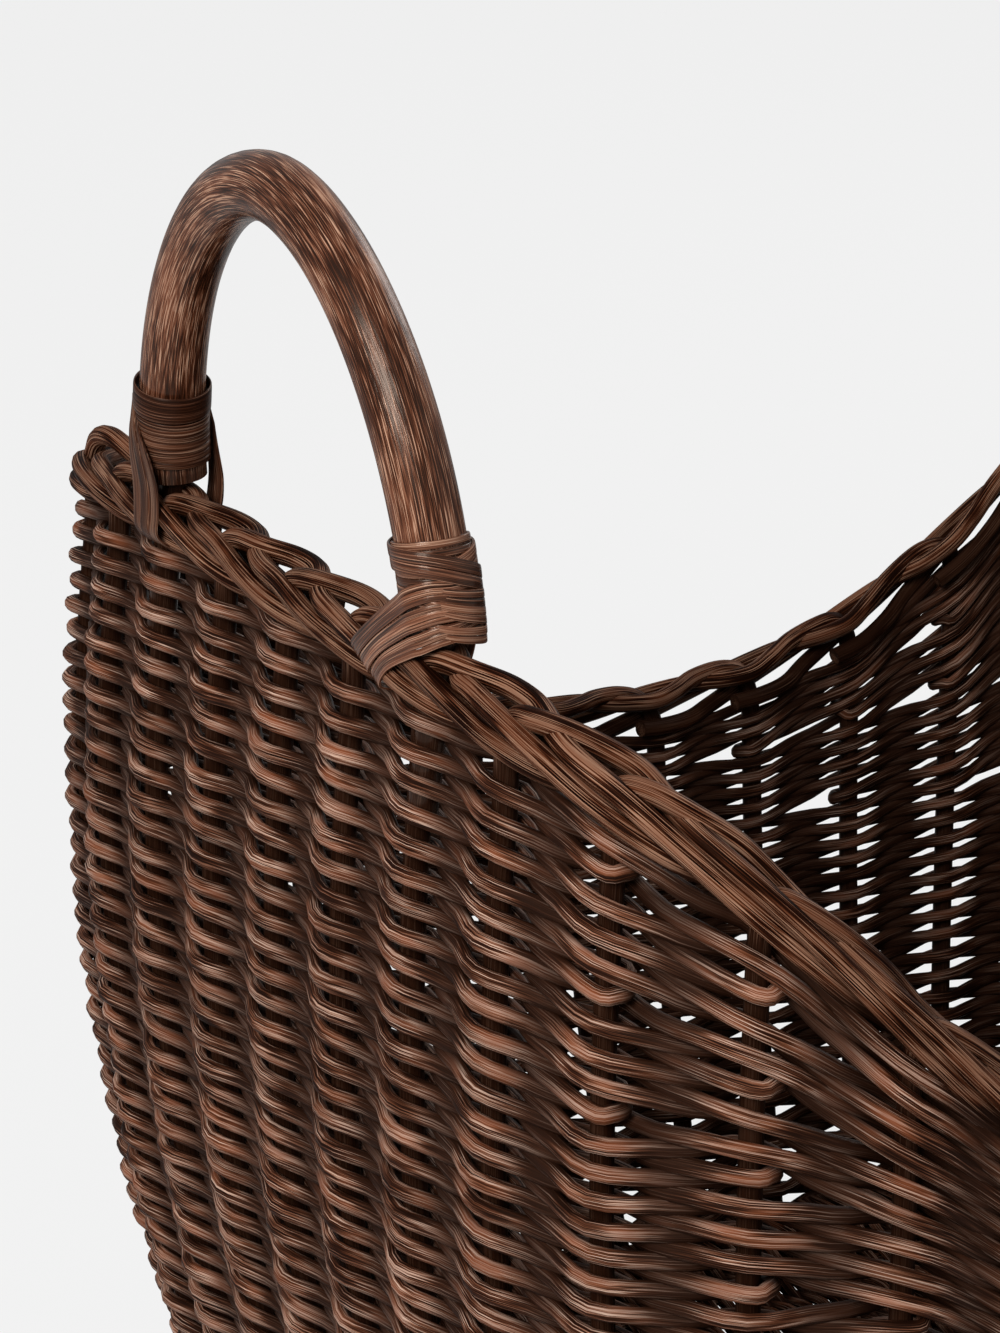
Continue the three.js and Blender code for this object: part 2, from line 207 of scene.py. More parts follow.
def makePiece(name, strands, material, nodes=()):
    # one mesh of all its strands, with the run along and across each strand kept for its grain, and how
    # proud each point stands, for the painted shade
    start = np.cumsum([0] + [len(s["co"]) for s in strands[:-1]])
    co = np.concatenate([s["co"] for s in strands])
    quads, tris = (np.concatenate([s[kind] + a for s, a in zip(strands, start)])
                   for kind in ("quads", "tris"))
    mesh = bpy.data.meshes.new(name)
    mesh.vertices.add(len(co))
    mesh.vertices.foreach_set("co", co.astype(np.float32).ravel())
    corners = np.concatenate([quads.ravel(), tris.ravel()])
    mesh.loops.add(len(corners))
    mesh.loops.foreach_set("vertex_index", corners.astype(np.int32))
    mesh.polygons.add(len(quads) + len(tris))
    starts = np.concatenate([4 * np.arange(len(quads)), quads.size + 3 * np.arange(len(tris))])
    mesh.polygons.foreach_set("loop_start", starts.astype(np.int32))
    mesh.update(calc_edges=True)
    mesh.validate()
    mesh.polygons.foreach_set("use_smooth", np.ones(len(mesh.polygons), bool))
    mesh.set_sharp_from_angle(angle=sharpAngle)
    for key, kind, field in (("run", "FLOAT_VECTOR", "vector"), ("seed", "FLOAT", "value"),
                             ("open", "FLOAT", "value")):
        values = np.concatenate([s[key] for s in strands]).astype(np.float32)
        kept = mesh.attributes.new("cane" + key.title(), kind, "POINT")
        kept.data.foreach_set(field, values.ravel())
    mesh.materials.append(material)
    piece = addThing(name, mesh)
    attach(piece, "root")
    if nodes:
        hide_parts(*nodes)
    print("made", name, 2 * len(quads) + len(tris), "triangles")


# Finishes: stained cane, streaked along each strand, with painted shade where strands go in between each
# other


def sockets(tree, into, kind, names):
    for name in names:
        tree.interface.new_socket(name=name, in_out=into, socket_type=kind)


def put(tree, kind, inputs=(), **settings):
    # adds a node, sets it, and fills its inputs with values or links
    node = tree.nodes.new(kind)
    for key, value in settings.items():
        setattr(node, key, value)
    for key, value in dict(inputs).items():
        if isinstance(value, bpy.types.NodeSocket):
            tree.links.new(value, node.inputs[key])
        else:
            node.inputs[key].default_value = value
    return node


def emptyTree(owner):
    owner.use_nodes = True
    owner.node_tree.nodes.clear()
    return owner.node_tree


def sums(tree, operation, a, b):
    return put(tree, "ShaderNodeMath", {0: a, 1: b}, operation=operation).outputs[0]


def ranged(tree, value, fromMin, fromMax, toMin, toMax, **settings):
    # carries a value from one range over to another and holds it there
    inputs = {"Value": value, "From Min": fromMin, "From Max": fromMax, "To Min": toMin, "To Max": toMax}
    return put(tree, "ShaderNodeMapRange", inputs, **settings).outputs[0]


def scaled(tree, colour, factor):
    return put(tree, "ShaderNodeVectorMath", {0: colour, "Scale": factor}, operation="SCALE").outputs[0]


grain = dict(
    seedStep=173.0,  # sets strands apart in the noise
    streakGain=1.5, fineGain=1.0, patchGain=0.9,
    fineWidth=0.5,  # fine fibres against the streaks, and a patch's width against its length
    fineLength=0.6, patchWidth=0.22, detail=1.0, roughness=0.5,
    ridgeOfStreak=0.75, ridgeOfFine=0.25, ridgeRange=(0.35, 0.65), patchRange=(0.5, 0.72),
)


def fibreGroup():
    # noise drawn out along the strand in three sizes: streaks, fine fibres and broad patches
    tree = bpy.data.node_groups.new("caneFibres", "ShaderNodeTree")
    sockets(tree, "INPUT", "NodeSocketVector", ["Run"])
    sockets(tree, "INPUT", "NodeSocketFloat", ["Seed", "Streak Width", "Streak Length", "Patch Length",
                                               "Contrast"])
    sockets(tree, "OUTPUT", "NodeSocketFloat", ["Grain", "Patch", "Strand", "Ridge"])
    into = tree.nodes.new("NodeGroupInput").outputs
    out = tree.nodes.new("NodeGroupOutput")
    parts = put(tree, "ShaderNodeSeparateXYZ", {0: into["Run"]}).outputs
    offset = sums(tree, "MULTIPLY", into["Seed"], grain["seedStep"])

    def drawnOut(width, length):
        spots = {axis: sums(tree, "ADD", sums(tree, "DIVIDE", parts[axis], size), offset)
                 for axis, size in enumerate((width, width, length))}
        place = put(tree, "ShaderNodeCombineXYZ", spots).outputs[0]
        return put(tree, "ShaderNodeTexNoise", {"Vector": place, "Scale": 1.0, "Detail": grain["detail"],
                                                "Roughness": grain["roughness"]}).outputs["Fac"]

    def swing(value, gain):
        return sums(tree, "MULTIPLY", sums(tree, "SUBTRACT", value, 0.5), gain)

    streak = drawnOut(into["Streak Width"], into["Streak Length"])
    fine = drawnOut(sums(tree, "MULTIPLY", into["Streak Width"], grain["fineWidth"]),
                    sums(tree, "MULTIPLY", into["Streak Length"], grain["fineLength"]))
    patch = drawnOut(sums(tree, "MULTIPLY", into["Patch Length"], grain["patchWidth"]), into["Patch Length"])
    whole = sums(tree, "ADD", swing(streak, grain["streakGain"]), swing(fine, grain["fineGain"]))
    whole = sums(tree, "ADD", whole, swing(patch, grain["patchGain"]))
    tone = sums(tree, "ADD", sums(tree, "MULTIPLY", whole, into["Contrast"]), 0.5)
    strand = put(tree, "ShaderNodeTexWhiteNoise", {"W": into["Seed"]}, noise_dimensions="1D")
    ridge = sums(tree, "ADD", sums(tree, "MULTIPLY", streak, grain["ridgeOfStreak"]),
                 sums(tree, "MULTIPLY", fine, grain["ridgeOfFine"]))
    made = dict(Grain=tone, Patch=patch, Strand=strand.outputs["Value"], Ridge=ridge)
    for name, value in made.items():
        tree.links.new(value, out.inputs[name])
    return tree


crevice = dict(
    # painted shade: the near black colour a strand fades to where it goes in between its neighbours
    shadeColour=(0.013, 0.0045, 0.0022, 1),
    depthRange=(0.1, 0.78),  # shares of the wall's half thickness: all in painted shade, and all clear
    insideRange=(-0.35, 0.1),  # where the painted shade of the inside ends
)


def creviceShadeGroup():
    # painted shade: towards a dark shade colour where a strand goes in between its neighbours, and darker on
    # the inside
    tree = bpy.data.node_groups.new("crevicePaintedShade", "ShaderNodeTree")
    sockets(tree, "INPUT", "NodeSocketFloat", ["Proud"])
    sockets(tree, "INPUT", "NodeSocketColor", ["Colour"])
    sockets(tree, "INPUT", "NodeSocketFloat", ["Clearest", "Inside Shade"])
    sockets(tree, "OUTPUT", "NodeSocketColor", ["Colour"])
    into = tree.nodes.new("NodeGroupInput").outputs
    out = tree.nodes.new("NodeGroupOutput")
    depth = sums(tree, "ABSOLUTE", into["Proud"], 0.0)
    share = ranged(tree, depth, *crevice["depthRange"], into["Clearest"], 1.0,
                   interpolation_type="SMOOTHSTEP")
    tone = ranged(tree, into["Proud"], *crevice["insideRange"], into["Inside Shade"], 1.0)
    stainedAndShaded = put(tree, "ShaderNodeMixRGB", {"Fac": share, "Color1": crevice["shadeColour"],
                                             "Color2": scaled(tree, into["Colour"], tone)})
    tree.links.new(stainedAndShaded.outputs[0], out.inputs["Colour"])
    return tree


fibres = fibreGroup()
creviceShadeTree = creviceShadeGroup()


def caneFinish(name, look):
    # colour ramp over the grain, a tone for each strand, painted shade in each crevice and on the inside,
    # ridges in the gloss and bump
    material = bpy.data.materials.new(name)
    tree = emptyTree(material)
    run, seed, proud = (put(tree, "ShaderNodeAttribute", attribute_name="cane" + kept).outputs
                        for kept in ("Run", "Seed", "Open"))
    fibre = put(tree, "ShaderNodeGroup", {"Run": run["Vector"], "Seed": seed["Fac"],
                                          "Streak Width": look["streakWidth"],
                                          "Streak Length": look["streakLength"],
                                          "Patch Length": look["patchLength"],
                                          "Contrast": look["contrast"]}, node_tree=fibres).outputs
    ramp = put(tree, "ShaderNodeValToRGB", {0: fibre["Grain"]})
    stops = ramp.color_ramp.elements
    stops.remove(stops[1])
    for number, (place, colour) in enumerate(look["colours"]):
        stop = stops[0] if number == 0 else stops.new(place)
        stop.position = place
        stop.color = (*colour, 1)
    warmth = ranged(tree, fibre["Patch"], *grain["patchRange"], 0.0, look["warmth"])
    warm = put(tree, "ShaderNodeMixRGB", {"Fac": warmth, "Color1": ramp.outputs["Color"],
                                          "Color2": (*look["warmColour"], 1)})
    toned = scaled(tree, warm.outputs[0], ranged(tree, fibre["Strand"], 0.0, 1.0, *look["strandTone"]))
    stainedAndShaded = put(tree, "ShaderNodeGroup", {"Proud": proud["Fac"], "Colour": toned,
                                            "Clearest": look["crevice"], "Inside Shade": look["inside"]},
                  node_tree=creviceShadeTree)
    smooth, dull = look["roughness"]
    bump = put(tree, "ShaderNodeBump", {"Height": fibre["Ridge"], "Strength": 1.0,
                                        "Distance": look["ridgeHeight"]})
    shader = put(tree, "ShaderNodeBsdfPrincipled", {
        "Base Color": stainedAndShaded.outputs[0],
        "Roughness": ranged(tree, fibre["Ridge"], *grain["ridgeRange"], dull, smooth),
        "Normal": bump.outputs[0],
        "IOR": 1.5,
        "Specular IOR Level": look["gloss"],
        "Specular Tint": (*look["sheen"], 1),
    })
    out = tree.nodes.new("ShaderNodeOutputMaterial")
    tree.links.new(shader.outputs[0], out.inputs["Surface"])
    return material


weaverLook = dict(
    streakWidth=0.0003, streakLength=0.026, patchLength=0.018, contrast=1.9,
    colours=[(0.06, (0.0085, 0.0022, 0.0009)), (0.28, (0.029, 0.008, 0.0033)),
             (0.48, (0.08, 0.0252, 0.011)), (0.64, (0.148, 0.053, 0.0255)),
             (0.8, (0.275, 0.138, 0.087)), (0.97, (0.5, 0.34, 0.26))],
    # crevice and inside set how dark the painted shade gets between strands and on the inside
    strandTone=(0.74, 1.16), warmth=0.75, warmColour=(0.185, 0.05, 0.018), crevice=0.07, inside=0.56,
    roughness=(0.38, 0.68), ridgeHeight=0.0003, gloss=0.09, sheen=(1.0, 0.7, 0.54),
)
borderWarmth = (1.0, 0.82, 0.68)
borderColours = [(place, np.multiply(colour, borderWarmth)) for place, colour in weaverLook["colours"]]
borderLook = dict(
    weaverLook, colours=borderColours, streakWidth=0.00032, streakLength=0.04, contrast=2.5,
    strandTone=(0.385, 0.58), warmth=0.65, crevice=0.08, gloss=0.05, sheen=(1.0, 0.6, 0.42),
)
poleLook = dict(
    weaverLook, streakWidth=0.00034, streakLength=0.013, patchLength=0.05, contrast=1.6, warmth=0.3,
    colours=[(0.06, (0.0105, 0.003, 0.0013)), (0.28, (0.027, 0.0078, 0.0034)),
             (0.48, (0.059, 0.0185, 0.0085)), (0.64, (0.105, 0.0375, 0.019)),
             (0.8, (0.185, 0.083, 0.048)), (0.97, (0.34, 0.2, 0.132))],
    strandTone=(1.15, 1.25), roughness=(0.15, 0.3), ridgeHeight=0.00012, gloss=0.26,
    sheen=(1.0, 0.8, 0.66),
)
peelLook = dict(
    poleLook, streakWidth=0.00026, streakLength=0.034, strandTone=(0.93, 1.3), contrast=1.4,
    roughness=(0.18, 0.3), gloss=0.42,
)
# painted shade: a darker copy of the peel for the plain lashings, also lower in gloss
dullShadedPeelLook = dict(peelLook, strandTone=(0.46, 0.7), roughness=(0.28, 0.42), gloss=0.1)
baseLook = dict(weaverLook, strandTone=(0.6, 0.9), roughness=(0.5, 0.75))

weaverCane = caneFinish("weaver cane, dark stained", weaverLook)
borderCane = caneFinish("border cane, dark stained", borderLook)
poleCane = caneFinish("handle pole, polished skin", poleLook)
peelCane = caneFinish("lashing peel, polished", peelLook)
dullShadedPeelCane = caneFinish("lashing peel, duller, painted shade", dullShadedPeelLook)
baseCane = caneFinish("base cane, dull", baseLook)
print("finishes made")

# Rows of the wall: level at first, then short rows pile up at the high ends between the full rows

weave = dict(
    radius=0.00232,  # at the high ends, where the rows lie usualPitch apart
    usualPitch=0.00435,
    fatOver=1.14,  # height over a stake and where strands cross, as shares of the radius
    tallAcross=1.22, flat=0.98, bulge=0.0057,
    straighten=1.5,  # power that draws the wave towards straight runs between stakes
    radiusSpread=0.06, swell=0.6, leastKnots=4, knotGap=24, pitch=0.0036, halfThickness=0.0088,
    borderDrop=0.0215,  # the rows end this far under the crest
    heightJitter=0.00045, bulgeJitter=0.0006, sides=10,
    samples=4,  # to each half gap between stakes
    thinnest=0.42,  # shares of the radius and of the wave that stay where rows crowd
    leastWave=0.2,
    seamFade=12,  # samples over which a closed row's swelling fades at its ends
    hookReach=0.15,  # a short row's turn past its last stake, in stake gaps
    hookBend=0.75, hookBulge=0.72, hookTip=1.05,
    hookOutside=(0.0, 0.15, 0.5),  # height gained at each point of the turn, from outside or from inside
    hookInside=(0.5, 0.85, 1.0),
    startBack=0.24,  # where a short row's two ends are tucked away behind their stake
    startDeeper=0.0006, endBack=0.3, endBulge=0.9, endLift=0.0004,
    # pairs of short rows, from the top down: full rows above the pair, and stakes it reaches each way
    shortPairs=dict(
        left=[(1, 4), (3, 5), (3, 8), (3, 4), (5, 5), (7, 4), (9, 5), (10, 7), (13, 5), (13, 6),
              (15, 7), (17, 6), (21, 8)],
        right=[(3, 4), (4, 5), (5, 7), (5, 9), (5, 8), (6, 6), (7, 7), (8, 5), (9, 4), (10, 6),
               (12, 5), (14, 8), (17, 6)],
    ),
)

stakeCount = wall["stakes"]
stakePlaces = np.arange(stakeCount)
stakeCrest = crestOver(stakePlaces)
rowRoom = stakeCrest - weave["borderDrop"] - wall["floorHeight"]
fullRows = int(round(rowRoom.min() / weave["pitch"]))
courses = []
endCentres = dict(left=stakeCount // 2, right=0)
dipStake = stakeCount // 4


def awayFrom(centre):
    return (stakePlaces - centre + stakeCount // 2) % stakeCount - stakeCount // 2


for number in range(fullRows):
    courses.append(dict(end="", cover=np.ones(stakeCount, bool), parity=number % 2))
    for end, centre in endCentres.items():
        here = [reach for above, reach in weave["shortPairs"][end] if above == fullRows - 1 - number]
        for reach in reversed(here):
            covered = np.abs(awayFrom(centre)) <= reach
            for half in (0, 1):
                courses.append(dict(end=end, half=half, centre=centre, reach=reach, cover=covered,
                                    parity=(number + 1 + half) % 2))

cover = np.array([c["cover"] for c in courses])
below = np.cumsum(cover, 0) - 1
rowsAt = cover.sum(0)
# the lowest rows lie at the usual pitch, and where rows crowd the upper ones lie closer: m u + (1 - m) u^2
share = (below + 0.5) / rowsAt
crowding = weave["usualPitch"] * rowsAt / rowRoom
rowHeight = wall["floorHeight"] + rowRoom * (crowding * share + (1 - crowding) * share ** 2)
# the pitch there as a share of the usual one, from the slope of the same curve
rowSize = 1 + 2 * (1 / crowding - 1) * share
rowHeight += random.uniform(-1, 1, rowHeight.shape) * weave["heightJitter"]
bulge = weave["bulge"] + random.uniform(-1, 1, rowHeight.shape) * weave["bulgeJitter"]
print("rows:", fullRows, "full and", len(courses) - fullRows, "short, at the left end and at the dip",
      rowsAt[endCentres["left"]], rowsAt[dipStake])


def sideOf(course, k):
    return 1 - 2 * ((k + course["parity"]) % 2)


def weaverRadius(n):
    # slow swelling along the strand, on a thickness of its own
    swell, spread = weave["swell"], weave["radiusSpread"]
    knots = random.uniform(-1, 1, max(weave["leastKnots"], n // weave["knotGap"]))
    slow = np.interp(np.linspace(0, 1, n), np.linspace(0, 1, len(knots)), knots)
    return weave["radius"] * (1 + random.uniform(-swell, swell) * spread + spread * swell * slow)


def layWeaver(place, outward, height, size, closed):
    lift = np.abs(outward) / weave["bulge"]
    wave = weave["leastWave"] + (1 - weave["leastWave"]) * size
    outward = np.sign(outward) * weave["bulge"] * lift ** weave["straighten"] * wave
    path, normal = spotOn(place, outward, height)
    radius = weaverRadius(len(path))
    if closed:
        fromEnd = np.minimum(np.arange(len(path)), np.arange(len(path))[::-1])
        fade = np.minimum(1, fromEnd / weave["seamFade"])
        radius = weave["radius"] + (radius - weave["radius"]) * fade
    radius = radius * (weave["thinnest"] + (1 - weave["thinnest"]) * size)
    tallness = weave["tallAcross"] + (weave["fatOver"] - weave["tallAcross"]) * np.minimum(1, lift)
    strand = sweep(path, upward, radius * tallness, radius * weave["flat"], weave["sides"],
                   random.uniform(0, 1), closed)
    return standProud(strand, path, outward, normal, weave["halfThickness"])


def fullRow(number, course):
    side = sideOf(course, stakePlaces)
    high, out, size = rowHeight[number], side * bulge[number], rowSize[number]
    atStake = np.stack([stakePlaces, out, high, size], -1)
    highBetween, sizeBetween = (high + np.roll(high, -1)) / 2, (size + np.roll(size, -1)) / 2
    between = np.stack([stakePlaces + 0.5, 0 * out, highBetween, sizeBetween], -1)
    controls = np.stack([atStake, between], 1).reshape(-1, 4)
    onward = [stakeCount, 0, 0, 0]
    wrapped = np.concatenate([controls[-2:] - onward, controls, controls[:2] + onward])
    curve = smoothThrough(wrapped, weave["samples"])
    place, outward, height, size = curve[2 * weave["samples"]:-2 * weave["samples"] - 1].T
    return layWeaver(place, outward, height, size, True)


def shortPair(lower, upper):
    # starts inside by the middle of the end, turns back at its last stake on each side, ends by its start
    centre, reach = courses[lower]["centre"], courses[lower]["reach"]
    covered = rowSize[lower, (centre + np.arange(reach + 1)) % stakeCount]
    controls = []

    def at(number, offset):
        k = (centre + offset) % stakeCount
        return float(sideOf(courses[number], k) * bulge[number, k]), float(rowHeight[number, k])

    def add(offset, outward, height):
        size = np.interp(abs(offset), np.arange(reach + 1), covered)
        controls.append((centre + offset, outward, height, size))

    def along(number, offsets):
        step = 1 if offsets[-1] >= offsets[0] else -1
        for position, offset in enumerate(offsets):
            out, high = at(number, offset)
            if position:
                previous = at(number, offsets[position - 1])[1]
                add(offset - step * 0.5, 0.0, (high + previous) / 2)
            add(offset, out, high)

    def hook(offset, way, goingUp):
        # leaves one row past the last stake and comes back on the other row, rising on the inside
        low, high = at(lower, offset), at(upper, offset)
        leave, back = (low, high) if goingUp else (high, low)
        changed = weave["hookOutside"] if leave[0] > 0 else weave["hookInside"]
        spots = ((weave["hookBend"], leave[0] * weave["hookBulge"]), (weave["hookTip"], 0.0),
                 (weave["hookBend"], back[0] * weave["hookBulge"]))
        for (past, outward), share in zip(spots, changed):
            height = leave[1] + (back[1] - leave[1]) * share
            add(offset + way * weave["hookReach"] * past, outward, height)

    start = 0 if sideOf(courses[lower], centre) < 0 else 1
    out, high = at(lower, start)
    add(start - weave["startBack"], -abs(out) - weave["startDeeper"], high)
    along(lower, range(start, reach + 1))
    hook(reach, 1, True)
    along(upper, range(reach, -reach - 1, -1))
    hook(-reach, -1, False)
    along(lower, range(-reach, start))
    out, high = at(lower, start)
    add(start - 0.5, 0.0, high)
    add(start - weave["endBack"], -abs(out) * weave["endBulge"], high + weave["endLift"])
    place, outward, height, size = smoothThrough(controls, weave["samples"]).T
    return layWeaver(place, outward, height, size, False)


rowsMade = [fullRow(number, course) for number, course in enumerate(courses) if not course["end"]]
third = math.ceil(len(rowsMade) / 3)
makePiece("weavers_lower", rowsMade[:third], weaverCane, ["woven_side"])
makePiece("weavers_middle", rowsMade[third:2 * third], weaverCane)
makePiece("weavers_upper", rowsMade[2 * third:], weaverCane)
for end in endCentres:
    pairs = [shortPair(number, number + 1) for number, course in enumerate(courses)
             if course["end"] == end and course["half"] == 0]
    makePiece("short_rows_" + end, pairs, weaverCane)

# Stakes, which bend over at the top and plait into the rim border

rim = dict(
    stakeFoot=0.01, wallSteps=22, wallRadius=0.0035, bendRadius=0.0033, tipRadius=0.0031,
    radiusSpread=0.06, sides=12, samples=5,
    bendRun=0.026,  # lengths from the wall's top to the bend's and the tip's full radius
    tipRun=0.2, jitter=0.0004, placeJitter=0.03,
    tallHump=dict(stake=17, lift=0.005, places=(0, 0.32, 0.6, 1.08), shares=(0, 1, 1, 0)),
    halfThickness=0.0098,
    openDepth=0.011,  # above this depth under the crest a strand is left out of the painted shade
    openMost=1.1,
    shadeDepth=0.018,  # below this depth a stake is painted darker, as shade from the wall
    shadeOver=0.006,
    shade=0.55,
    # place along from the stake, outward, drop under the crest
    course=[(0, 0, 0.036), (0, 0.0006, 0.024), (0.02, 0.0022, 0.014), (0.12, 0.0034, 0.0076),
            (0.32, 0.0034, 0.0046), (0.6, 0.0012, 0.0041), (0.86, -0.003, 0.005),
            (1.08, -0.0048, 0.0064), (1.3, -0.002, 0.007), (1.52, 0.0028, 0.007),
            (1.76, 0.0056, 0.0072), (2.12, 0.007, 0.0085), (2.55, 0.0074, 0.0117),
            (3, 0.0068, 0.0151), (3.4, 0.003, 0.0176), (3.68, -0.0022, 0.0178),
            (4, -0.0068, 0.016), (4.28, -0.0078, 0.0146)],
)


def stakeAndBorder(k):
    course = np.array(rim["course"])
    course[3:, 0] += random.uniform(-rim["placeJitter"], rim["placeJitter"])
    course[3:, 1:] += random.uniform(-1, 1, (len(course) - 3, 2)) * rim["jitter"]
    hump = rim["tallHump"]
    if k == hump["stake"]:
        course[:, 2] -= hump["lift"] * np.interp(course[:, 0], hump["places"], hump["shares"])
    place, outward, drop = smoothThrough(course, rim["samples"]).T
    top = stakeCrest[k] - rim["course"][0][2]
    rise = np.linspace(rim["stakeFoot"], top, rim["wallSteps"], endpoint=False)
    place = np.concatenate([np.zeros(len(rise)), place]) + k
    outward = np.concatenate([np.zeros(len(rise)), outward])
    crest = crestOver(place)
    height = np.concatenate([rise, crest[len(rise):] - drop])
    path, normal = spotOn(place, outward, height)
    gone = runAlong(path)
    fromTop = gone - gone[len(rise)]
    radius = np.interp(fromTop, [0.0, rim["bendRun"], rim["tipRun"]],
                       [rim["wallRadius"], rim["bendRadius"], rim["tipRadius"]])
    radius = radius * (1 + random.uniform(-1, 1) * rim["radiusSpread"])
    strand = sweep(path, normal, radius, radius, rim["sides"], random.uniform(0, 1))
    strand = standProud(strand, path, outward, normal, rim["halfThickness"])
    # painted shade: the stake darker down in the wall, the border near the crest left clear of it
    depth = np.repeat(crest, rim["sides"]) - strand["co"][:-2, 2]
    inWall = np.clip((depth - rim["shadeDepth"]) / rim["shadeOver"], 0, 1)
    shaded = strand["open"][:-2] * (1 - rim["shade"] * inWall)
    strand["open"][:-2] = np.maximum(shaded, rim["openMost"] - depth / rim["openDepth"])
    return strand


borderStakes = [stakeAndBorder(k) for k in range(stakeCount)]
makePiece("stakes_and_rim_border", borderStakes, borderCane, ["rim_border"])

# Foot border: short rods beside the stakes, turned out, down and in under the wall

foot = dict(
    radius=0.0031, sides=10, samples=5, halfThickness=0.0086, placeJitter=0.03,
    # place along from the stake, outward, height
    course=[(0, 0, 0.019), (0.1, 0.0014, 0.0146), (0.45, 0.0048, 0.011),
            (1, 0.0055, 0.0104), (1.5, 0.0056, 0.0074), (2, 0.0054, 0.004),
            (2.45, 0.001, 0.0033), (2.9, -0.007, 0.0034), (3.4, -0.0115, 0.006),
            (3.9, -0.0117, 0.0102), (4.3, -0.0117, 0.0106)],
)


def footRod(k):
    course = np.array(foot["course"])
    course[:, 0] += random.uniform(-foot["placeJitter"], foot["placeJitter"])
    place, outward, height = smoothThrough(course, foot["samples"]).T
    path, normal = spotOn(place + k, outward, height)
    strand = sweep(path, normal, foot["radius"], foot["radius"], foot["sides"], random.uniform(0, 1))
    return standProud(strand, path, outward, normal, foot["halfThickness"])


footRods = [footRod(k) for k in range(stakeCount)]
makePiece("foot_border_rods", footRods, borderCane, ["foot_border"])

# Base: thin ribs lengthwise with rods woven over and under them, on thick sticks

base = dict(
    middle=0.0193, edge=-0.006, samples=3, halfThickness=0.0047,
    ribRadius=0.0016, ribGap=0.026, ribsEachSide=6, ribSides=8, ribSteps=12,
    rodRadius=0.00175, rodWide=0.0021, rodGap=0.0033, rodSides=6, edgeRoom=0.002, endRoom=0.001,
    sticks=5, stickSpacing=0.052, stickRadius=0.005, stickHeight=0.009, stickSides=20, stickSteps=24,
    stickFlat=0.96, stickBend=0.0004, stickWaves=9, outermost=0.9999,
)


def baseReach(across, halfAcross, halfAlong):
    # how far the base's outline lies from the middle one way, at a distance across it
    share = np.minimum(base["outermost"], np.abs(across) / halfAcross)
    return halfAlong * (1 - share ** wall["cornerPower"]) ** (1 / wall["cornerPower"])


baseInset = wallInset(base["middle"]) - base["edge"]
baseLong, baseWide = wall["halfLength"] - baseInset, wall["halfWidth"] - baseInset
ribPlaces = np.arange(-base["ribsEachSide"], base["ribsEachSide"] + 1) * base["ribGap"]
rods = []
for y in ribPlaces:
    reach = baseReach(y, baseWide, baseLong)
    path = np.array([[x, y, base["middle"]] for x in np.linspace(-reach, reach, base["ribSteps"])])
    rods.append(sweep(path, upward, base["ribRadius"], base["ribRadius"], base["ribSides"],
                      random.uniform(0, 1)))
rodCount = int((baseLong - base["endRoom"]) / base["rodGap"])
for number in range(-rodCount, rodCount + 1):
    x = number * base["rodGap"]
    reach = float(baseReach(x, baseLong, baseWide))
    crossed = np.flatnonzero(np.abs(ribPlaces) < reach - base["edgeRoom"])
    if len(crossed) < 2:
        continue
    lift = (base["ribRadius"] + base["rodRadius"]) * (1 - 2 * ((crossed + number) % 2))
    controls = [(x, -reach, base["middle"])]
    for spot, up in zip(ribPlaces[crossed], lift):
        controls.append((x, spot, base["middle"] + up))
        controls.append((x, spot + base["ribGap"] / 2, base["middle"]))
    controls[-1] = (x, reach, base["middle"])
    path = smoothThrough(controls, base["samples"])
    strand = sweep(path, lengthwise, base["rodWide"], base["rodRadius"], base["rodSides"],
                   random.uniform(0, 1))
    normal = np.tile(upward, (len(path), 1))
    rods.append(standProud(strand, path, path[:, 2] - base["middle"], normal, base["halfThickness"]))
makePiece("base_mat_woven", rods, baseCane, ["base_mat"])
for number in range(base["sticks"]):
    node = f"base_stick_{number + 1}"
    low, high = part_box(node)
    y = (number - base["sticks"] // 2) * base["stickSpacing"]
    path = np.array([[x, y, base["stickHeight"]] for x in np.linspace(low.x, high.x, base["stickSteps"])])
    wave = np.sin(np.linspace(0, base["stickWaves"], base["stickSteps"]) + number)
    path[:, 1] += base["stickBend"] * wave
    strand = sweep(path, upward, base["stickRadius"], base["stickRadius"] * base["stickFlat"],
                   base["stickSides"], random.uniform(0, 1))
    makePiece(f"base_stick_cane_{number + 1}", [strand], baseCane, [node])

# Handles: one bent pole at each end, a peg under each leg

handle = dict(
    halfSpan=0.085, rise=0.108, fullness=1.06, lean=math.radians(3.5), seatHeight=0.001,
    radius=0.01, swell=0.012, swellWaves=17, steps=110, footSteps=5, sides=36, grainSeed=0.37,
    # painted shade: the pole darker at its foot, and the pegs darker still
    shadedBelow=0.005, shadeOver=0.004, shadeLeast=0.3,
    pegRadius=0.0045, pegDepth=0.052, pegOverlap=0.06, pegSteps=6, pegSides=12, pegSeed=0.6, pegShade=0.1,
)
legAngle = math.pi - math.atan2(handle["halfSpan"], wall["halfLength"])
legTop = float(crestAt(np.array([legAngle]))[0])
handleFacing = np.array([math.cos(handle["lean"]), 0, math.sin(handle["lean"])])


def wallAtLeg(height):
    return float(planAt(np.array([legAngle]), np.array([height]))[0][0])


legX = wallAtLeg(legTop)


def handleSpot(sideways, up):
    # point of the leaning plane of the left handle
    sideways, up = np.broadcast_arrays(np.asarray(sideways, float), np.asarray(up, float))
    x, z = legX - up * math.sin(handle["lean"]), legTop + up * math.cos(handle["lean"])
    return np.stack([x, sideways, z], -1)


def toEnd(strand, end):
    if end == "right":
        strand = dict(strand, co=strand["co"] * [-1, -1, 1])
    return strand


